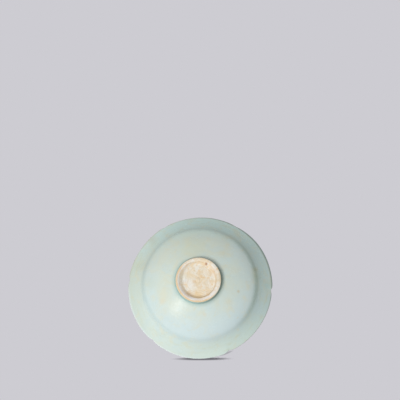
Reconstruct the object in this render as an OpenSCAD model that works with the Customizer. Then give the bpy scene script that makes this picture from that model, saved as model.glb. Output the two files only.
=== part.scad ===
// Foliate rice bowl: a turned stoneware body with a glaze coat outside and another inside.
// It stands upright on its foot ring, +Z up, with the origin at the centre of the resting face.

/* [Bowl] */
// Diameter across the lip
mouth_d = 160; // [156:1:166]
// Height from the resting face to the crown of the lip
bowl_h = 44; // [43:0.5:46]
// Diameter where the outside is steepest
shoulder_d = 125; // [123:0.5:127]
// Height where the outside is steepest
shoulder_h = 24.6; // [23.8:0.1:25.4]
// Slope of the outside at the shoulder, in degrees from level
shoulder_slope = 56; // [52:1:60]
// Slope of the flared rim, in degrees from level
rim_slope = 38; // [35:1:41]
// Slope of the outside where it leaves the foot, in degrees from level
belly_slope = 18; // [15:1:20]

/* [Wall] */
// Thickness of the glazed wall at the shoulder
shoulder_t = 3.7; // [3.2:0.1:4.2]
// Thickness of the glazed wall at the lip
lip_t = 2.8; // [2.4:0.1:3.2]
// Height of the inside floor at its centre
floor_h = 9.6; // [9:0.1:10.2]

/* [Foot] */
// Outside diameter of the resting face
land_d = 47.6; // [46:0.2:50]
// Width of the resting face
land_w = 1.5; // [1.2:0.1:2.2]
// Width of the bevel inside the resting face
bevel_w = 2.1; // [1.6:0.1:2.6]
// Depth of the bevel
bevel_h = 1; // [0.8:0.1:1.4]
// Depth of the recess under the base
recess_h = 4.6; // [4:0.1:5]
// Height where the foot wall runs into the belly
foot_h = 5.8; // [5.4:0.1:6.2]

/* [Glaze] */
// Thickness of the glaze on the walls
glaze_t = 0.6; // [0.4:0.05:0.8]
// Thickness of the glaze where it has run thin, at the lip and at the glaze line
glaze_thin_t = 0.3; // [0.2:0.05:0.35]
// Thickness of the glaze pooled in the corner above the foot
glaze_pool_t = 1; // [0.85:0.05:1.2]
// Height of the glaze line on the foot
glaze_line_h = 1.5; // [1.2:0.1:1.8]

/* [Lip notches] */
// Depth of each notch
notch_depth = 1.5; // [1:0.1:2]
// Radius of the rounded blade that cut the notches
notch_r = 6; // [4:0.5:8]

/* [Hidden] */
$fn = 180;

// Six notches cut by eye, so each is a few degrees off its even place.
first_notch = 49;
notch_error = [-2, 2.5, 8, 2, -4, -4];
notch_pitch = 360 / len(notch_error);

mouth_r = mouth_d / 2;
land_r = land_d / 2;
bevel_r = land_r - land_w;
recess_r = bevel_r - bevel_w;
nipple_r = 3;
nipple_h = 0.4;
foot_chamfer = 0.5;
foot_wall_slope = 84;

// Stations that the outside passes through: glaze line, top of the foot, shoulder, end of the rim.
glaze_line = [land_r + foot_chamfer + glaze_thin_t, glaze_line_h];
foot_top = [land_r + 2.9, foot_h];
shoulder = [shoulder_d / 2, shoulder_h];
lip_centre = [mouth_r - lip_t / 2, bowl_h - lip_t / 2];
rim_under = lip_centre + lip_t / 2 * heading(rim_slope - 90);

// The same for the inside.
rim_over = lip_centre + lip_t / 2 * heading(rim_slope + 90);
shoulder_in = shoulder + shoulder_t * heading(shoulder_slope + 90);
floor_centre = [0, floor_h];

function heading(angle) = [cos(angle), sin(angle)];

// A smooth curve from a to b in n steps without its last point. It leaves a at one slope and arrives
// at b at another; the two pulls say how far each slope is held.
function curve(a, slope_a, pull_a, b, slope_b, pull_b, n) = let(
    c = a + pull_a * heading(slope_a),
    d = b - pull_b * heading(slope_b)
) [for (i = [0:n - 1]) let(t = i / n, s = 1 - t)
    s * s * s * a + 3 * s * s * t * c + 3 * s * t * t * d + t * t * t * b];

// An arc about the lip's centre from one angle to another, in n steps without its last point.
function lip_arc(from, to, n) = [for (i = [0:n - 1])
    lip_centre + lip_t / 2 * heading(from + (to - from) * i / n)];

// Glazed outline: from the glaze line up the outside, over the crown of the lip and down to the centre.
foot_steps = 8;
outside = concat(
    curve(glaze_line, foot_wall_slope, 3.2, foot_top, belly_slope, 1.6, foot_steps),
    curve(foot_top, belly_slope, 22, shoulder, shoulder_slope, 7, 14),
    curve(shoulder, shoulder_slope, 3, rim_under, rim_slope, 14, 10),
    lip_arc(rim_slope - 90, rim_slope, 6));
inside = concat(
    lip_arc(rim_slope, rim_slope + 90, 6),
    curve(rim_over, rim_slope + 180, 9, shoulder_in, shoulder_slope + 180, 8, 10),
    curve(shoulder_in, shoulder_slope + 180, 10, floor_centre, 180, 30, 14),
    [floor_centre]);
glazed = concat(outside, inside);
crown = len(outside);
centre = len(glazed) - 1;

// Direction into the clay at point i of the outline, which ends level at the axis.
function inward(i) = let(
    ahead = i == centre ? [-1, 0] : glazed[i + 1] - glazed[max(i - 1, 0)]
) [-ahead[1], ahead[0]] / norm(ahead);

// The glaze is thin at its lower edge, pooled in the corner above the foot, and thin again at the lip.
function thickness(i) =
    i < foot_steps ? glaze_thin_t + (glaze_pool_t - glaze_thin_t) * sin(90 * i / (foot_steps - 1)) :
    i < foot_steps + 4 ? glaze_pool_t + (glaze_t - glaze_pool_t) * (i - foot_steps + 1) / 5 :
    glaze_t + (glaze_thin_t - glaze_t) * max(0, 1 - abs(i - crown) / 10);

// The face of the clay under the glaze.
clay_face = [for (i = [0:centre]) glazed[i] + thickness(i) * inward(i)];

// Underside of the foot, from the centre of the base to the foot wall.
underside = [
    [0, recess_h - nipple_h],
    [nipple_r, recess_h],
    [recess_r - 3.6, recess_h],
    [recess_r - 2, recess_h - 0.5],
    [recess_r - 0.9, recess_h - 1.6],
    [recess_r, bevel_h],
    [bevel_r, 0],
    [land_r, 0],
    [land_r + foot_chamfer, foot_chamfer]];

// One notch is a round-bladed cut straight down through the lip.
module notches() {
    for (i = [0:len(notch_error) - 1])
        rotate([0, 0, first_notch + i * notch_pitch + notch_error[i]])
            translate([mouth_r + notch_r - notch_depth, 0, bowl_h - 10])
                cylinder(r = notch_r, h = 20);
}

// The glaze between two points of the outline.
function coat(from, to) = concat(
    [for (i = [from:to]) glazed[i]],
    [for (i = [to:-1:from]) clay_face[i]]);

// A profile turned about the axis, with the notches cut in its lip.
module turned(profile) {
    difference() {
        rotate_extrude() polygon(profile);
        notches();
    }
}

module clay_body() {
    color([0.87, 0.78, 0.66]) turned(concat(underside, clay_face));
}

module outer_glaze() {
    color([0.75, 0.84, 0.8]) turned(coat(0, crown));
}

module inner_glaze() {
    color([0.72, 0.83, 0.8]) turned(coat(crown, centre));
}

clay_body();
outer_glaze();
inner_glaze();
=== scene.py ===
"""Looks of the foliate rice bowl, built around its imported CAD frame.

The bowl stands upright on its foot ring (+Z up, metres). The picture is taken from below its foot, as
it would be seen standing on its rim, so the camera's "up" is a level direction of the bowl's frame.
"""
import math

import bpy
import numpy as np
from mathutils import Matrix, Vector


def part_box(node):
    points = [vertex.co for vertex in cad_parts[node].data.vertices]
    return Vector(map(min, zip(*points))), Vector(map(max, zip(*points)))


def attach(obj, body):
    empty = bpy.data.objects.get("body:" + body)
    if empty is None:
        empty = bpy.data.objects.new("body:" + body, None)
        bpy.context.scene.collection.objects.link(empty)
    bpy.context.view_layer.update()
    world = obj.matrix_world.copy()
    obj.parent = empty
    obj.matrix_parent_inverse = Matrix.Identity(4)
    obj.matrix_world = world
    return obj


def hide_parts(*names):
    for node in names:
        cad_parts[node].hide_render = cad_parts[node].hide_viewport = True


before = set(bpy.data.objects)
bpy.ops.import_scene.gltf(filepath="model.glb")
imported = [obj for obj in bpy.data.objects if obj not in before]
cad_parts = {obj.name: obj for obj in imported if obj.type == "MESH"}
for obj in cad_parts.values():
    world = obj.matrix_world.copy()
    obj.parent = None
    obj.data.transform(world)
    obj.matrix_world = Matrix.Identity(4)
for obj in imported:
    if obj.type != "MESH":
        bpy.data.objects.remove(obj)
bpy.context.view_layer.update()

MM = 0.001
SEED = 7

# ---------------------------------------------------------------- sizes, from the frame
mouth_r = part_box("outer_glaze")[1].x
bowl_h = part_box("inner_glaze")[1].z

# The same stations and slopes as the CAD outline.
shoulder_r, shoulder_h, shoulder_slope = 62.5 * MM, 24.6 * MM, 56
rim_slope, belly_slope, foot_wall_slope = 38, 18, 84
shoulder_t, lip_t, floor_h = 3.7 * MM, 2.8 * MM, 9.6 * MM
land_r, land_w = 23.8 * MM, 1.5 * MM
bevel_w, bevel_h, recess_h = 2.1 * MM, 1.0 * MM, 4.6 * MM
foot_chamfer = 0.5 * MM
glaze_t, glaze_thin_t, glaze_pool_t = 0.6 * MM, 0.3 * MM, 1.0 * MM
foot_h = 5.8 * MM
bevel_r = land_r - land_w
recess_r = bevel_r - bevel_w
# How far along the outside, from the top of the foot's chamfer, the glaze starts before it wanders.
glaze_start = 1.0 * MM

# The six notches in the lip, each cut a little differently.
notch_angles = np.radians([48, 111.5, 176.5, 231, 285, 345])
notch_depths = np.array([1.8, 1.8, 1.4, 2.0, 1.2, 0.6]) * MM
notch_half_widths = np.array([2.8, 4.0, 3.0, 3.0, 3.0, 3.6]) * MM
# How far the petal that follows each notch stands out beyond the rest, at its start and at its end.
petal_reach = np.array([[-0.4, 0.0], [1.0, -0.45], [-0.4, -0.1], [0.2, 0.35], [0.2, -0.2], [-0.3, 0.2]]) * MM

# Level directions of the picture, in the bowl's frame: to its right, and up it.
across = Vector((1, 1, 0)).normalized()
upward = Vector((1, -1, 0)).normalized()

# The foot lies a little off the rim's centre, and its recess off the foot's. The foot is a touch wide.
foot_aside = (across * -0.45 + upward * 0.28) * MM
recess_aside = (across * -0.55 + upward * 0.2) * MM
foot_spread = 0.2 * MM


# ---------------------------------------------------------------- outline of a cross-section
def heading(angle):
    """The unit step in (r, z) at this many degrees from level."""
    return np.array([math.cos(math.radians(angle)), math.sin(math.radians(angle))])


def curve(a, slope_a, pull_a, b, slope_b, pull_b):
    """A smooth curve from a to b, without b. The pulls say how far each end's slope is held."""
    a, b = np.array(a, float), np.array(b, float)
    c, d = a + pull_a * heading(slope_a), b - pull_b * heading(slope_b)
    t = np.linspace(0, 1, 200, endpoint=False)[:, None]
    s = 1 - t
    return s**3 * a + 3 * s * s * t * c + 3 * s * t * t * d + t**3 * b


lip_centre = np.array([mouth_r - lip_t / 2, bowl_h - lip_t / 2])


def lip_arc(start, stop):
    """The round of the lip, between two angles about its centre."""
    return np.array([lip_centre + lip_t / 2 * heading(a) for a in np.linspace(start, stop, 60)])


class Line:
    """A polyline in (r, z) that can be read at any distance along it."""

    def __init__(self, points):
        step = np.hypot(*np.diff(points, axis=0).T)
        keep = np.r_[True, step > 1e-9]
        self.points = points[keep]
        self.along = np.r_[0, np.cumsum(np.hypot(*np.diff(self.points, axis=0).T))]
        self.length = self.along[-1]
        tangent = np.gradient(self.points, self.along, axis=0)
        tangent /= np.linalg.norm(tangent, axis=1)[:, None]
        self.normals = np.c_[tangent[:, 1], -tangent[:, 0]]

    def at(self, s):
        """The point at this distance, as r and z."""
        return [np.interp(s, self.along, self.points[:, i]) for i in (0, 1)]

    def normal(self, s):
        """The unit step off the line at this distance, away from the clay."""
        return [np.interp(s, self.along, self.normals[:, i]) for i in (0, 1)]


def softened(corners, step=0.1 * MM, reach=4):
    """A line from the axis through these corners, with each corner rounded off over a few steps."""
    sharp = Line(np.array(corners))
    points = np.array(sharp.at(np.arange(0, sharp.length, step))).T
    padded = np.r_[[points[0]] * reach, points, [points[-1]] * reach]
    padded[:reach, 0] = -points[reach:0:-1, 0]
    kernel = np.hanning(2 * reach + 3)[1:-1]
    rounded = [np.convolve(padded[:, i], kernel / kernel.sum(), "valid") for i in (0, 1)]
    return Line(np.array(rounded).T)


foot_wall_base = [land_r + foot_chamfer + glaze_thin_t, foot_chamfer]
foot_top = [land_r + 2.9 * MM, foot_h]
rim_under = lip_centre + lip_t / 2 * heading(rim_slope - 90)
rim_over = lip_centre + lip_t / 2 * heading(rim_slope + 90)
shoulder = np.array([shoulder_r, shoulder_h])
shoulder_in = shoulder + shoulder_t * heading(shoulder_slope + 90)

outside = Line(np.vstack([
    curve(foot_wall_base, foot_wall_slope, 4.2 * MM, foot_top, belly_slope, 1.6 * MM),
    curve(foot_top, belly_slope, 22 * MM, shoulder, shoulder_slope, 7 * MM),
    curve(shoulder, shoulder_slope, 3 * MM, rim_under, rim_slope, 14 * MM),
    lip_arc(rim_slope - 90, rim_slope)]))
inside = Line(np.vstack([
    lip_arc(rim_slope, rim_slope + 90),
    curve(rim_over, rim_slope + 180, 9 * MM, shoulder_in, shoulder_slope + 180, 8 * MM),
    curve(shoulder_in, shoulder_slope + 180, 10 * MM, [0, floor_h], 180, 30 * MM),
    [[0, floor_h]]]))
underside = softened([
    [0, recess_h],
    [recess_r - 3.2 * MM, recess_h],
    [recess_r - 2.0 * MM, recess_h - 0.5 * MM],
    [recess_r - 0.9 * MM, recess_h - 1.6 * MM],
    [recess_r, bevel_h],
    [bevel_r, 0],
    [land_r, 0],
    [land_r + foot_chamfer, foot_chamfer]])


def smooth(x, low, high):
    """0 below low, 1 above high and a smooth rise between."""
    t = np.clip((x - low) / (high - low), 0, 1)
    return t * t * (3 - 2 * t)


def outer_glaze_t(s):
    """Thickness of the outside coat: thin at its edge and lip, pooled in the corner above the foot."""
    pool = smooth(s, 0, 5 * MM) * (1 - smooth(s, 7.5 * MM, 15 * MM))
    lip = smooth(s, outside.length - 10 * MM, outside.length)
    t = glaze_thin_t + (glaze_t - glaze_thin_t) * smooth(s, 0, 4 * MM)
    return t + (glaze_pool_t - glaze_t) * pool + (glaze_thin_t - glaze_t) * lip


def inner_glaze_t(s):
    """Thickness of the inside coat, from the crown of the lip down."""
    return glaze_thin_t + (glaze_t - glaze_thin_t) * smooth(s, 0, 10 * MM)


# ---------------------------------------------------------------- hand-made unevenness
def waves(x, y, z, size, seed, count=14):
    """Smooth pseudo-random waves of about this size, mostly between -1 and 1, the same on each run."""
    rng = np.random.default_rng(SEED + seed)
    direction = rng.normal(size=(count, 3))
    direction /= np.linalg.norm(direction, axis=1)[:, None]
    pitch = 2 * math.pi / (size * rng.uniform(0.7, 1.6, count))
    phase = rng.uniform(0, 2 * math.pi, count)
    total = sum(np.sin(p * (d[0] * x + d[1] * y + d[2] * z) + f)
                for d, p, f in zip(direction, pitch, phase))
    return total / math.sqrt(2 * count)


def angle_between(a, b):
    """The turn from b to a, between -pi and pi."""
    return (a - b + math.pi) % (2 * math.pi) - math.pi


def shaped(r, z, angle):
    """Where a point of the true round bowl goes: the notches, and the warp of throwing and firing."""
    reach = smooth(r, mouth_r - 9 * MM, mouth_r) ** 1.5
    cut = sum(d * np.exp(-np.abs(angle_between(angle, a) * mouth_r / w) ** 1.6)
              for a, d, w in zip(notch_angles, notch_depths, notch_half_widths)) * reach
    share = (r / mouth_r) ** 2
    # One petal ends 1.5 degrees before a notch, and the next starts 1.5 degrees after it.
    edges = np.ravel(notch_angles[:, None] + np.radians([-1.5, 1.5]))
    petal = np.interp(angle, edges, np.roll(petal_reach.ravel(), 1), period=2 * math.pi)
    oval = -0.15 * MM + 0.8 * MM * np.cos(2 * angle - 0.6) + 0.4 * MM * np.cos(angle + 0.6)
    flutter = 0.12 * MM * np.sin(5 * angle + 1.1) + 0.1 * MM * np.sin(8 * angle + 0.3)
    spread = foot_spread * smooth(r, 12 * MM, recess_r) * (1 - smooth(r, foot_top[0], foot_top[0] + 8 * MM))
    r_out = r - cut * heading(rim_slope)[0] + (oval + flutter) * share + petal * reach + spread
    z_out = z - cut * heading(rim_slope)[1]
    z_out = z_out + (0.35 * MM * np.cos(2 * angle + 0.8) - 0.35 * MM) * share
    moved = 1 - smooth(r, land_r + 6 * MM, shoulder_r)
    return r_out * np.cos(angle) + foot_aside.x * moved, r_out * np.sin(angle) + foot_aside.y * moved, z_out


def turn_angles():
    """Directions round the axis, close together at each notch."""
    fine, coarse = math.radians(0.4), math.radians(1.2)
    found, a = [], 0.0
    while a < 2 * math.pi - fine / 2:
        found.append(a)
        at_notch = np.min(np.abs(angle_between(a, notch_angles))) < math.radians(6)
        a += fine if at_notch else coarse
    return np.array(found)


turn = turn_angles()


# ---------------------------------------------------------------- mesh making
def lathe(name, rows, wrap, material, nodes):
    """A closed mesh from rows of points round the axis. A row all in one place becomes one point.

    The last row joins the first where the mesh wraps. Otherwise both lie at the axis.
    """
    points, index = [], []
    for x, y, z in rows:
        if max(np.ptp(x), np.ptp(y)) < 0.01 * MM:
            index.append([len(points)] * len(turn))
            points.append((x.mean(), y.mean(), z.mean()))
        else:
            index.append(list(range(len(points), len(points) + len(turn))))
            points.extend(zip(x.tolist(), y.tolist(), z.tolist()))
    faces = []
    for this, after in zip(index, index[1:] + index[:1] if wrap else index[1:]):
        for j in range(len(turn)):
            k = (j + 1) % len(turn)
            corners = [this[j], this[k], after[k], after[j]]
            faces.append([v for i, v in enumerate(corners) if v != corners[i - 1]])
    mesh = bpy.data.meshes.new(name)
    mesh.from_pydata(points, [], faces)
    mesh.validate()
    mesh.shade_smooth()
    mesh.set_sharp_from_angle(angle=math.radians(50))
    mesh.materials.append(material)
    piece = bpy.data.objects.new(name, mesh)
    bpy.context.scene.collection.objects.link(piece)
    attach(piece, "root")
    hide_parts(*nodes)


def row(line, s, lift):
    """One ring of points: the line read at s, lifted off it by lift. Both may vary round the ring."""
    s = np.broadcast_to(s, turn.shape)
    (r, z), (nr, nz) = line.at(s), line.normal(s)
    return shaped(r + nr * lift, z + nz * lift, turn)


def base_row(s):
    """One ring under the foot. The recess is off the foot's centre, and its wall is gentler on one side."""
    x, y, z = row(underside, s, base_lift(s))
    r = underside.at(s)[0]
    aside = recess_aside * (1 - smooth(r, recess_r, bevel_r))
    gentle_side = np.clip(np.cos(turn - math.radians(200)), 0, 1)
    on_wall = smooth(r, 2 * MM, 15 * MM) * (1 - smooth(r, recess_r - 1.0 * MM, recess_r))
    slack = 1.2 * MM * on_wall * gentle_side
    return x + aside.x - slack * np.cos(turn), y + aside.y - slack * np.sin(turn), z


def spaced(start, stop, step):
    """Distances from start to stop, both included, about a step apart."""
    return np.linspace(start, stop, max(2, int(round((stop - start) / step)) + 1))


def true_round(line, s):
    """The ring at this distance along the line before any unevenness, as x, y and z."""
    r, z = line.at(s)
    return r * np.cos(turn), r * np.sin(turn), z + 0 * turn


# Distance along the outside to the glaze line, which wanders a little round the foot.
foot_x, foot_y = np.cos(turn) * land_r, np.sin(turn) * land_r
glaze_edge = glaze_start + 0.35 * MM * waves(foot_x, foot_y, 0, 18 * MM, 1)
glaze_edge = glaze_edge + 0.12 * MM * waves(foot_x, foot_y, 0, 5 * MM, 2)


def from_edge(s):
    """A distance along the outside, moved with the glaze line near it."""
    return s + (glaze_edge - glaze_start) * (1 - smooth(s, glaze_start, 7 * MM))


def outer_lift(s):
    """Free face of the outside coat, off the outline: rounded edge, soft lumps, faint turning rings."""
    x, y, z = true_round(outside, s)
    edge = np.clip((s - glaze_edge) / (0.7 * MM), 0, 1)
    bead = np.sqrt(1 - (1 - edge) ** 2)
    fade = smooth(s, 1 * MM, 6 * MM) * (1 - smooth(s, outside.length - 6 * MM, outside.length))
    rings = 0.008 * MM * np.sin(2 * math.pi * s / (3.4 * MM) + turn + 1.5 * waves(x, y, z, 60 * MM, 5))
    lumps = 0.06 * MM * waves(x, y, z, 22 * MM, 3) + 0.02 * MM * waves(x, y, z, 6 * MM, 4)
    return -outer_glaze_t(s) * (1 - bead) + fade * (lumps + rings)


def inner_lift(s):
    """Free face of the inside coat, off the outline: soft lumps and faint throwing rings."""
    x, y, z = true_round(inside, s)
    fade = smooth(s, 1 * MM, 8 * MM) * smooth(inside.length - s, 0, 5 * MM)
    rings = 0.012 * MM * np.sin(2 * math.pi * s / (5.5 * MM) + turn)
    lumps = 0.05 * MM * waves(x, y, z, 24 * MM, 8) + 0.02 * MM * waves(x, y, z, 7 * MM, 9)
    return fade * (lumps + rings)


def base_lift(s):
    """The turned base: a spiral left by the tool, a small crown at the centre, and gritty clay."""
    r, z = underside.at(s)
    x, y = r * np.cos(turn), r * np.sin(turn)
    off = np.hypot(x - 0.6 * MM, y + 0.4 * MM)
    crown = 0.5 * MM * np.exp(-(off / (1.6 * MM)) ** 2)
    crown = crown - 0.25 * MM * np.exp(-((off - 3 * MM) / (1 * MM)) ** 2)
    on_floor = (1 - smooth(r, recess_r - 2 * MM, recess_r - 0.5 * MM)) * smooth(r, 0, 0.8 * MM)
    spiral = 0.07 * MM * np.sin(2 * math.pi * r / (1.9 * MM) - turn + 1.2 * waves(x, y, 0, 14 * MM, 11))
    dish = 0.25 * MM * waves(x, y, 0, 26 * MM, 12)
    grit = 0.03 * MM * waves(x, y, z, 1.4 * MM, 13, 24) + 0.05 * MM * waves(x, y, z, 4 * MM, 14, 20)
    worn = np.where(r > bevel_r - 0.1 * MM, 0.4, 1.0)
    return crown + on_floor * (spiral + dish) + smooth(r, 0, 0.8 * MM) * worn * grit


# Rings where a coat hides the surface stand this far apart.
hidden_step = 2.5 * MM


def make_clay(material):
    """The clay, from the base's centre up the outside under the glaze, over the lip and down the inside."""
    bare_end = 4.5 * MM
    stations = np.r_[spaced(0, bare_end, 0.3 * MM), spaced(bare_end, outside.length, hidden_step)[1:]]
    rows = [base_row(s) for s in spaced(0, underside.length, 0.3 * MM)]
    rows += [row(outside, s, -outer_glaze_t(s)) for s in stations]
    rows += [row(inside, s, -inner_glaze_t(s)) for s in spaced(0, inside.length, hidden_step)]
    lathe("bowl_clay_body", rows, False, material, ["clay_body"])


def make_outer_glaze(material):
    """The outside coat: its free face up to the crown of the lip, and its back against the clay."""
    foot_end, corner_end, lip_start = 3 * MM, 14 * MM, outside.length - 6 * MM
    stations = np.r_[spaced(glaze_start, foot_end, 0.15 * MM), spaced(foot_end, corner_end, 0.35 * MM)[1:],
                     spaced(corner_end, lip_start, 0.6 * MM)[1:],
                     spaced(lip_start, outside.length, 0.2 * MM)[1:]]
    front = [row(outside, from_edge(s), outer_lift(from_edge(s))) for s in stations]
    back = [row(outside, from_edge(s), -outer_glaze_t(from_edge(s)))
            for s in spaced(glaze_start + 1 * MM, outside.length, hidden_step)]
    lathe("bowl_outer_glaze", front + back[::-1], True, material, ["outer_glaze"])


def make_inner_glaze(material):
    """The inside coat: its back against the clay, and its free face from the crown down to the floor."""
    lip_end = 6 * MM
    stations = np.r_[spaced(0, lip_end, 0.2 * MM), spaced(lip_end, inside.length, 0.7 * MM)[1:]]
    front = [row(inside, s, inner_lift(s)) for s in stations]
    back = [row(inside, s, -inner_glaze_t(s)) for s in spaced(0, inside.length, hidden_step)]
    lathe("bowl_inner_glaze", back[::-1] + front, False, material, ["inner_glaze"])


# ---------------------------------------------------------------- materials
class Shader:
    """A material's node tree with one short call for each kind of node it uses."""

    def __init__(self, name):
        self.material = bpy.data.materials.new(name)
        self.material.use_nodes = True
        self.tree = self.material.node_tree
        self.tree.nodes.clear()
        self.out = self.tree.nodes.new("ShaderNodeOutputMaterial")
        self.place = self.node("ShaderNodeTexCoord").outputs["Object"]
        self.xyz = self.node("ShaderNodeSeparateXYZ", self.place)

    def node(self, kind, *inputs, **settings):
        """A new node with its first sockets filled in order and its settings set."""
        made = self.tree.nodes.new(kind)
        for key, value in settings.items():
            setattr(made, key, value)
        for i, value in enumerate(inputs):
            self.put(made.inputs[i], value)
        return made

    def put(self, socket, value):
        """Link a node or an output to the socket, or set the socket to a plain value."""
        if isinstance(value, bpy.types.Node):
            value = value.outputs[0]
        if isinstance(value, bpy.types.NodeSocket):
            self.tree.links.new(value, socket)
        elif value is not None:
            socket.default_value = value

    def math(self, operation, a, b=None):
        return self.node("ShaderNodeMath", a, b, operation=operation).outputs[0]

    def rise(self, value, none, full):
        """0 at none, 1 at full and a smooth rise between. Either may be the larger."""
        made = self.node("ShaderNodeMapRange", value, none, full, 0.0, 1.0, interpolation_type="SMOOTHSTEP")
        return made.outputs[0]

    def band(self, value, start, full, last, end):
        """0 up to start, 1 from full to last, and 0 again from end on."""
        return self.math("MULTIPLY", self.rise(value, start, full), self.rise(value, end, last))

    def noise(self, size, detail, rough, offset, warp=0.0):
        """Noise with features of about this size, in metres."""
        made = self.node("ShaderNodeTexNoise", self.vector("ADD", self.place, (offset,) * 3))
        made.inputs["Scale"].default_value = 1 / size
        made.inputs["Detail"].default_value = detail
        made.inputs["Roughness"].default_value = rough
        made.inputs["Distortion"].default_value = warp
        return made.outputs["Fac"]

    def specks(self, pitch, radius, offset):
        """Scattered dots: one in each cell of this pitch, 1 in the middle and 0 from its radius out."""
        made = self.node("ShaderNodeTexVoronoi", self.vector("ADD", self.place, (offset,) * 3), feature="F1")
        made.inputs["Scale"].default_value = 1 / pitch
        return self.rise(made.outputs["Distance"], radius / pitch, 0.2 * radius / pitch)

    def radius(self):
        """Distance from the bowl's axis."""
        squares = [self.math("MULTIPLY", self.xyz.outputs[i], self.xyz.outputs[i]) for i in (0, 1)]
        return self.math("SQRT", self.math("ADD", *squares))

    def vector(self, operation, *inputs):
        """A vector sum, product and so on, as a node."""
        return self.node("ShaderNodeVectorMath", *inputs, operation=operation)

    def flat(self):
        """The point with its height left out."""
        return self.vector("MULTIPLY", self.place, (1.0, 1.0, 0.0))

    def near(self, right, up, reach):
        """1 at a place given in mm right and up from the axis, as the picture sees it. 0 from reach out."""
        centre = (across * right + upward * up) * MM
        away = self.vector("DISTANCE", self.flat(), tuple(centre)).outputs["Value"]
        return self.rise(away, reach * MM, 0.0)

    def towards(self, right, up):
        """How far out a point lies this way across the picture: 1 at the rim, and -1 at the rim opposite."""
        way = (across * right + upward * up).normalized() / mouth_r
        return self.vector("DOT_PRODUCT", self.place, tuple(way)).outputs["Value"]

    def streaks(self, width, length, offset):
        """Noise drawn out round the bowl, as a wheel or a brush leaves it."""
        turned = self.vector("MULTIPLY", self.vector("NORMALIZE", self.flat()), (mouth_r / length,) * 3)
        out = self.node("ShaderNodeCombineXYZ", offset, offset, self.math("DIVIDE", self.radius(), width))
        made = self.node("ShaderNodeTexNoise", self.vector("ADD", turned, out))
        made.inputs["Scale"].default_value = 1.0
        made.inputs["Detail"].default_value = 3.0
        return made.outputs["Fac"]

    def mix(self, share, a, b):
        """Colour a with this share of colour b."""
        made = self.node("ShaderNodeMix", data_type="RGBA")
        for socket, value in ((made.inputs["Factor"], share), (made.inputs[6], a), (made.inputs[7], b)):
            self.put(socket, value)
        return made.outputs[2]

    def tint(self, colour, share, shade, *masks):
        """The colour with this share of a shade in it where all the masks are 1, and none where one is 0."""
        for mask in masks:
            share = self.math("MULTIPLY", mask, share)
        return self.mix(share, colour, shade)

    def stains_and_painted_light(self, colour, marks):
        """The colour with soft round stains and painted light and shade in it, each as for near, with share
        and shade.
        """
        for right, up, reach, share, shade in marks:
            colour = self.tint(colour, share, shade, self.near(right, up, reach))
        return colour

    def front(self):
        """1 on the side that a face looks out of, and 0 on its back."""
        return self.math("SUBTRACT", 1.0, self.node("ShaderNodeNewGeometry").outputs["Backfacing"])

    def finish_faded(self, share, surface):
        """Make the whole material this surface where share is 1, fading to clear where it is 0."""
        clear = self.node("ShaderNodeBsdfTransparent")
        self.put(self.out.inputs["Surface"], self.node("ShaderNodeMixShader", share, clear, surface))
        return self.material

    def finish(self, colour, roughness, height, height_mm, ior):
        """Make the whole material this shader. height_mm is how tall the bumps drawn by height are."""
        shader = self.node("ShaderNodeBsdfPrincipled")
        self.put(shader.inputs["Base Color"], colour)
        self.put(shader.inputs["Roughness"], roughness)
        bump = self.node("ShaderNodeBump")
        bump.inputs["Strength"].default_value = 1.0
        bump.inputs["Distance"].default_value = height_mm * MM
        self.put(bump.inputs["Height"], height)
        self.put(shader.inputs["Normal"], bump)
        self.put(shader.inputs["IOR"], ior)
        self.put(self.out.inputs["Surface"], shader)
        return self.material


def rgb(*levels):
    """A colour given as red, green and blue from 11 to 255, as a screen shows it, turned to linear light."""
    return tuple(((level / 255 + 0.055) / 1.055) ** 2.4 for level in levels) + (1.0,)


def side_glaze_and_painted_shading(m, colour, radius):
    """Outside glaze from shoulder to rim: pooled below the rim, with painted light and shade from side to
    side.
    """
    # Painted shade over glaze pooled in the valley below the rim:
    # a little all round, more at the left, greener at the right.
    valley = m.band(radius, 58 * MM, 62 * MM, 63 * MM, 66 * MM)
    left = m.math("ADD", m.math("MULTIPLY", m.rise(m.towards(-1, -0.3), 0.1, 0.8), 0.3), 0.12)
    colour = m.tint(colour, left, rgb(176, 196, 192), valley)
    colour = m.tint(colour, 0.35, rgb(150, 180, 160), valley, m.rise(m.towards(1, 0.15), 0.3, 0.75))
    # Painted light, paler at the top and at the lower right, and painted shade, greyer at the left.
    for right, up, none, full, start, end, share, shade in (
            (-0.1, 1, 0.3, 0.8, 50, 59, 0.45, rgb(211, 239, 232)),
            (0.6, -1, 0.7, 0.95, 56, 62, 0.4, rgb(217, 233, 219)),
            (-1, -0.2, 0.75, 0.97, 61, 65, 0.3, rgb(190, 200, 184))):
        side = m.rise(m.towards(right, up), none, full)
        colour = m.tint(colour, share, shade, side, m.rise(radius, start * MM, end * MM))
    return colour


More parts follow.
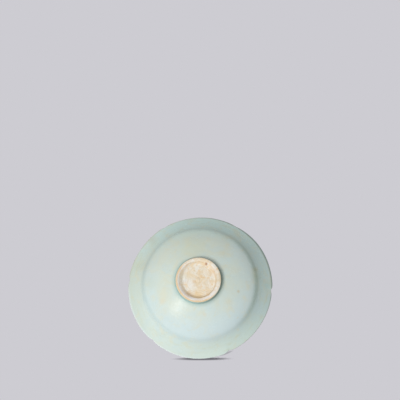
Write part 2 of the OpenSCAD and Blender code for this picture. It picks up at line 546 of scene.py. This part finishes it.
def glaze_material(name, pool_top, pool_full, is_outside, marks):
    """Celadon glaze: bluer where thick, greener and yellower where thin, with fine iron specks.

    It pools from the height pool_top down to pool_full. The outside changes from side to side, partly as
    painted light and shade; the inside does so at the lip alone, with a painted highlight and painted shade.
    """
    m = Shader(name)
    radius, height = m.radius(), m.xyz.outputs["Z"]
    thin, pooled_glaze_and_shade = rgb(203, 219, 212), rgb(142, 178, 174)
    # Slow drift between a bluer and a yellower green, bluest in a ring inside the shoulder.
    drift = m.rise(m.noise(40 * MM, 3.0, 0.55, 0.31, 0.6), 0.38, 0.62)
    colour = m.mix(drift, rgb(208, 222, 216), rgb(211, 219, 206))
    colour = m.tint(colour, 0.5, rgb(202, 220, 222), m.band(radius, 40 * MM, 54 * MM, 60 * MM, 66 * MM))
    # Outside: bluer at the bottom, yellower at the top, the thin glaze bluer at the right, and the pool lower
    # at the top and darker at the right, with painted shade there over the pooled glaze.
    if is_outside:
        colour = m.tint(colour, 0.5, rgb(206, 222, 226), m.rise(m.towards(0.2, -1), 0.1, 0.7))
        colour = m.tint(colour, 0.5, rgb(211, 214, 194), m.rise(m.towards(-0.5, 1), 0.1, 0.6))
        thin = m.mix(m.rise(m.towards(1, 0.6), -0.5, 0.6), rgb(207, 220, 211), rgb(197, 218, 214))
        pooled_glaze_and_shade = m.mix(m.rise(m.towards(1, 0.4), -0.2, 0.25), pooled_glaze_and_shade, rgb(84, 112, 92))
        height = m.math("ADD", height, m.math("MULTIPLY", m.rise(m.towards(0.25, 1), 0.2, 0.33), 1.1 * MM))
    # Thin glaze on the flared rim, with bluer clouds in it and over the rest.
    flare = m.rise(radius, shoulder_r - 1 * MM, shoulder_r + 4 * MM)
    colour = m.tint(colour, 0.85, thin, flare)
    clouds = m.rise(m.noise(15 * MM, 4.0, 0.6, 0.77, 0.4), 0.46, 0.66)
    colour = m.tint(colour, 0.4, rgb(199, 217, 218), clouds)
    # Outside: painted light and shade from side to side, over glaze pooled below the rim.
    if is_outside:
        colour = side_glaze_and_painted_shading(m, colour, radius)
    # Straw-coloured blotches, large and small, streaks round the rim, and the stains that stand out.
    blotches = m.rise(m.noise(14 * MM, 4.0, 0.6, 1.9, 0.6), 0.50, 0.72)
    spots = m.rise(m.noise(5 * MM, 3.0, 0.6, 6.1, 0.6), 0.60, 0.74)
    streaks = m.rise(m.streaks(2.6 * MM, 16 * MM, 3.7), 0.50, 0.75)
    colour = m.tint(colour, 0.45, rgb(218, 214, 186), blotches)
    colour = m.tint(colour, 0.3, rgb(216, 204, 168), spots)
    colour = m.tint(colour, 0.35, rgb(204, 206, 176), streaks, flare)
    colour = m.stains_and_painted_light(colour, marks)
    # Pooled glaze, with painted shade in it at the outside's right; then the lip: straw-coloured, with a
    # painted highlight, white at the lower left, and painted shade, dark along the right.
    colour = m.tint(colour, 0.75, pooled_glaze_and_shade, m.rise(height, pool_top, pool_full))
    lip = m.mix(m.rise(m.towards(-0.6, -1), 0.3, 0.7), rgb(200, 198, 176), rgb(217, 228, 228))
    colour = m.tint(colour, 0.4, lip, m.rise(radius, mouth_r - 2.2 * MM, mouth_r - 0.8 * MM))
    shaded_lip_band = m.rise(radius, mouth_r - 1.6 * MM, mouth_r - 0.2 * MM)
    colour = m.tint(colour, 0.65, rgb(112, 136, 132), shaded_lip_band, m.rise(m.towards(1, 0.3), -0.1, 0.6))
    # Iron specks in drifts. The skin is orange peel with pinholes.
    specked = m.rise(m.noise(20 * MM, 1.0, 0.5, 3.3), 0.5, 0.6)
    colour = m.tint(colour, 0.5, rgb(120, 100, 70), m.specks(5.5 * MM, 0.28 * MM, 0.13), specked)
    pinholes = m.math("MULTIPLY", m.specks(3.1 * MM, 0.2 * MM, 0.57), 0.6)
    skin = m.math("SUBTRACT", m.noise(1.6 * MM, 2.0, 0.5, 2.2), pinholes)
    roughness = m.node("ShaderNodeMapRange", m.noise(12 * MM, 3.0, 0.6, 4.4), 0.3, 0.7, 0.20, 0.30)
    return m.finish(colour, roughness, skin, 0.035, 1.5)


def clay_material(marks):
    """Bare buff clay: flushed orange at the foot's edge, blotched, with a few iron spots."""
    m = Shader("bare_buff_clay")
    radius = m.radius()
    clouds = m.rise(m.noise(9 * MM, 4.0, 0.6, 0.4, 0.5), 0.40, 0.62)
    blotches = m.rise(m.noise(6 * MM, 4.0, 0.65, 1.7, 0.6), 0.50, 0.68)
    colour = m.mix(clouds, rgb(231, 226, 214), rgb(227, 209, 180))
    colour = m.tint(colour, 0.6, rgb(228, 192, 142), blotches)
    # The flush, on the resting face and outside it, all but at the upper right.
    flush = m.rise(radius, bevel_r + 0.2 * MM, bevel_r + 0.9 * MM)
    colour = m.tint(colour, 0.75, rgb(228, 196, 154), flush, m.rise(m.towards(-0.7, -0.7), -0.14, 0.1))
    # The bevel was wiped pale all round; painted light makes it paler below and its outer edge paler at the
    # left.
    bevel = m.band(radius, recess_r - 0.8 * MM, recess_r + 0.4 * MM, bevel_r - 0.8 * MM, bevel_r + 0.2 * MM)
    ledge = m.band(radius, bevel_r - 0.8 * MM, bevel_r - 0.1 * MM, bevel_r + 0.2 * MM, bevel_r + 0.9 * MM)
    colour = m.tint(colour, 0.12, rgb(236, 233, 231), bevel)
    colour = m.tint(colour, 0.6, rgb(238, 236, 238), bevel, m.rise(m.towards(-0.15, -1), 0.0, 0.2))
    colour = m.tint(colour, 0.65, rgb(240, 238, 238), ledge, m.rise(m.towards(-1, -0.1), 0.0, 0.2))
    # A brown line in the corner of the recess, grains of grog, and the marks that stand out: stains,
    # and some painted light and shade.
    seam = m.band(radius, recess_r - 3.0 * MM, recess_r - 2.2 * MM, recess_r - 1.6 * MM, recess_r - 0.8 * MM)
    colour = m.tint(colour, 0.4, rgb(208, 170, 118), seam, m.rise(m.towards(0.6, -0.5), -0.2, 0.3))
    colour = m.tint(colour, 0.25, rgb(190, 142, 96), m.specks(1.7 * MM, 0.3 * MM, 0.21))
    colour = m.stains_and_painted_light(colour, marks)
    return m.finish(colour, 0.85, m.noise(0.8 * MM, 3.0, 0.7, 5.5), 0.05, 1.45)


# Stains and spots that stand out, and on the base some painted light and shade.
# Each is mm right and up, mm of reach, share and shade.
base_marks = (
    (1, -14, 11, 0.6, rgb(231, 203, 156)),
    (-9, 7, 8, 0.35, rgb(228, 206, 164)),
    (-9, -4, 7, 0.6, rgb(236, 232, 224)),
    (8, 9, 6, 0.4, rgb(234, 228, 216)),
    # Painted shade: darker at the right of the foot.
    (25, 2, 12, 0.35, rgb(186, 168, 134)),
    (-11, -15, 6, 0.5, rgb(214, 176, 130)),
    (-18, 4, 8, 0.3, rgb(214, 216, 198)),
    # Painted light: white at the left of the recess floor.
    (-15, 0, 4.5, 0.7, rgb(228, 232, 232)),
    (16, 9.5, 7, 0.35, rgb(214, 180, 140)),
    (8, 18, 2.2, 0.85, rgb(168, 112, 78)))
outside_marks = (
    (42.5, -10.5, 2.6, 0.5, rgb(200, 178, 138)),
    (61.5, 16, 4.5, 0.4, rgb(178, 176, 130)),
    (75, 1, 8, 0.35, rgb(170, 206, 208)),
    (-54, 0, 14, 0.3, rgb(198, 209, 193)),
    (-54, 54, 9, 0.4, rgb(198, 192, 172)),
    (62.5, 8, 9, 0.25, rgb(176, 190, 150)),
    (-68, 24, 13, 0.35, rgb(204, 204, 166)),
    (-38, -14, 11, 0.3, rgb(222, 214, 184)),
    (-40, -21, 6, 0.35, rgb(226, 208, 170)),
    (6, -36, 3.5, 0.35, rgb(224, 206, 170)),
    (32, -22, 6, 0.3, rgb(216, 206, 170)),
    (26, 31, 8, 0.25, rgb(212, 202, 168)),
    (-8, 40, 26, 0.3, rgb(204, 214, 190)))
make_clay(clay_material(base_marks))
make_outer_glaze(glaze_material("outside_celadon", foot_h + 1.2 * MM, foot_h - 1.5 * MM, True, outside_marks))
make_inner_glaze(glaze_material("inside_celadon", floor_h + 2.5 * MM, floor_h - 4.0 * MM, False, ()))


# ---------------------------------------------------------------- camera
# How far the line of sight stands off the bowl's axis: up the picture, and across it.
lean, turned_aside = math.radians(15.0), math.radians(2.1)
axis = Vector((0, 0, 1))
cam_up = upward * math.cos(lean) - axis * math.sin(lean)
cam_right = (across * math.cos(turned_aside) + axis * math.sin(turned_aside)).normalized()
cam_up = (cam_up - cam_right * cam_up.dot(cam_right)).normalized()
cam_back = cam_right.cross(cam_up)
# The rim's centre as the camera sees it: right, up and away.
rim_from_camera = (0.2 * MM, -97.1 * MM, 1238 * MM)


def make_camera():
    """The picture's camera, below the foot and looking up at it."""
    data = bpy.data.cameras.new("camera")
    data.lens, data.sensor_width = 100, 36
    data.clip_start, data.clip_end = 0.05, 50
    camera = bpy.data.objects.new("camera", data)
    bpy.context.scene.collection.objects.link(camera)
    right, up, away = rim_from_camera
    place = axis * lip_centre[1] - cam_right * right - cam_up * up + cam_back * away
    turned = Matrix((cam_right, cam_up, cam_back)).transposed().to_4x4()
    camera.matrix_world = Matrix.Translation(place) @ turned
    bpy.context.scene.camera = camera


make_camera()


# ---------------------------------------------------------------- studio
backdrop_colour = rgb(205, 204, 210)
floor_colour = rgb(222, 221, 226)
# The colour of the painted contact shadows.
painted_shadow_colour = rgb(60, 58, 66)
sky_colour = (0.97, 0.99, 1.0, 1.0)
sky_strength = 0.44


def set_world():
    """An even pale backdrop for the camera, and soft even light for everything else."""
    bpy.context.scene.view_settings.view_transform = "Standard"
    world = bpy.data.worlds.new("studio")
    bpy.context.scene.world = world
    world.use_nodes = True
    tree = world.node_tree
    tree.nodes.clear()
    seen, light = (tree.nodes.new("ShaderNodeBackground") for _ in range(2))
    seen.inputs[0].default_value = backdrop_colour
    light.inputs[0].default_value = sky_colour
    light.inputs[1].default_value = sky_strength
    path = tree.nodes.new("ShaderNodeLightPath")
    mix = tree.nodes.new("ShaderNodeMixShader")
    out = tree.nodes.new("ShaderNodeOutputWorld")
    tree.links.new(path.outputs["Is Camera Ray"], mix.inputs[0])
    tree.links.new(light.outputs[0], mix.inputs[1])
    tree.links.new(seen.outputs[0], mix.inputs[2])
    tree.links.new(mix.outputs[0], out.inputs[0])


def softbox(name, towards, distance, size, power, glossy=True):
    """A soft light, this wide and this high, looking at the middle of the bowl from this direction."""
    data = bpy.data.lights.new(name, "AREA")
    data.shape, data.size, data.size_y, data.energy = "ELLIPSE", size[0], size[1], power
    lamp = bpy.data.objects.new(name, data)
    bpy.context.scene.collection.objects.link(lamp)
    middle = axis * bowl_h / 2
    lamp.location = middle + towards.normalized() * distance
    lamp.rotation_mode = "QUATERNION"
    lamp.rotation_quaternion = towards.to_track_quat("Z", "Y")
    lamp.visible_camera, lamp.visible_glossy = False, glossy


def stage_disc(name, radius, place, turned, material):
    """A thin round piece of the studio. Only the camera sees it, so it puts no light or shade on the bowl."""
    mesh = bpy.data.meshes.new(name)
    bearings = np.linspace(0, 2 * math.pi, 96, endpoint=False)
    ring = [(radius * math.cos(a), radius * math.sin(a), 0.0) for a in bearings]
    mesh.from_pydata(ring, [], [list(range(len(ring)))])
    mesh.materials.append(material)
    disc = bpy.data.objects.new(name, mesh)
    bpy.context.scene.collection.objects.link(disc)
    disc.matrix_world = Matrix.Translation(place) @ turned
    disc.visible_diffuse = disc.visible_glossy = disc.visible_transmission = disc.visible_shadow = False


def floor_material(name, fade_from, fade_to):
    """Pale studio floor, seen from above only, fading into the backdrop away from the bowl."""
    m = Shader(name)
    kept = m.math("MULTIPLY", m.rise(m.radius(), fade_to, fade_from), m.front())
    return m.finish_faded(kept, m.node("ShaderNodeBsdfDiffuse", floor_colour))


def painted_shadow_material(name, half_width, half_depth, share):
    """A painted shadow, a thin dark line soft all round where the rim meets what it stands on. Its back is
    clear.
    """
    m = Shader(name)
    away = m.vector("LENGTH", m.vector("MULTIPLY", m.place, (1 / half_width, 1 / half_depth, 0.0)))
    dark = m.math("MULTIPLY", m.math("MULTIPLY", m.rise(away.outputs["Value"], 1.0, 0.4), share), m.front())
    return m.finish_faded(dark, m.node("ShaderNodeEmission", painted_shadow_colour))


def painted_contact_shadow(name, right, down, over, along, half_width, half_depth, share):
    """A painted contact shadow facing down, just over the mouth, so that no view from above shows it.

    It lies this far right and down in the picture from the bowl's axis.
    """
    place = across * right - upward * down + axis * (bowl_h + over)
    turned = Matrix((along, -axis.cross(along), -axis)).transposed().to_4x4()
    material = painted_shadow_material(name, half_width, half_depth, share)
    stage_disc(name, half_width + 4 * MM, place, turned, material)


set_world()

# Where the lights stand, seen from the middle of the bowl.
key_from = cam_right * -0.392 + cam_up * -0.135 + cam_back * 0.910
shine_from = cam_right * -0.502 + cam_up * -0.15 + cam_back * 0.852
edge_from = cam_right * -0.56 + cam_up * -0.62 + cam_back * -0.55
overhead_from = axis - across * 0.25 - upward * 0.15
softbox("key", key_from, 1.1, (0.5, 0.5), 7.3, glossy=False)
softbox("shine", shine_from, 1.1, (0.18, 0.13), 0.95)
softbox("edge", edge_from, 1.1, (1.5, 1.5), 5.0)
softbox("overhead", overhead_from, 1.0, (1.6, 1.6), 6.0, glossy=False)

floor_place = axis * -0.2 * MM
petal_slant = across * 0.936 + upward * 0.352
stage_disc("floor", 2.5, floor_place, Matrix.Identity(4), floor_material("pale_floor", 0.5, 1.8))
# Painted shadows: a thin line where the rim stands, and a short one beside a notch in the lip.
painted_contact_shadow("rim_painted_shadow", 2.2 * MM, mouth_r - 0.5 * MM, 0.3 * MM, across, 37 * MM, 2.1 * MM, 0.78)
painted_contact_shadow("petal_painted_shadow", 28.5 * MM, 73.4 * MM, 1.0 * MM, petal_slant, 10 * MM, 1.5 * MM, 0.35)
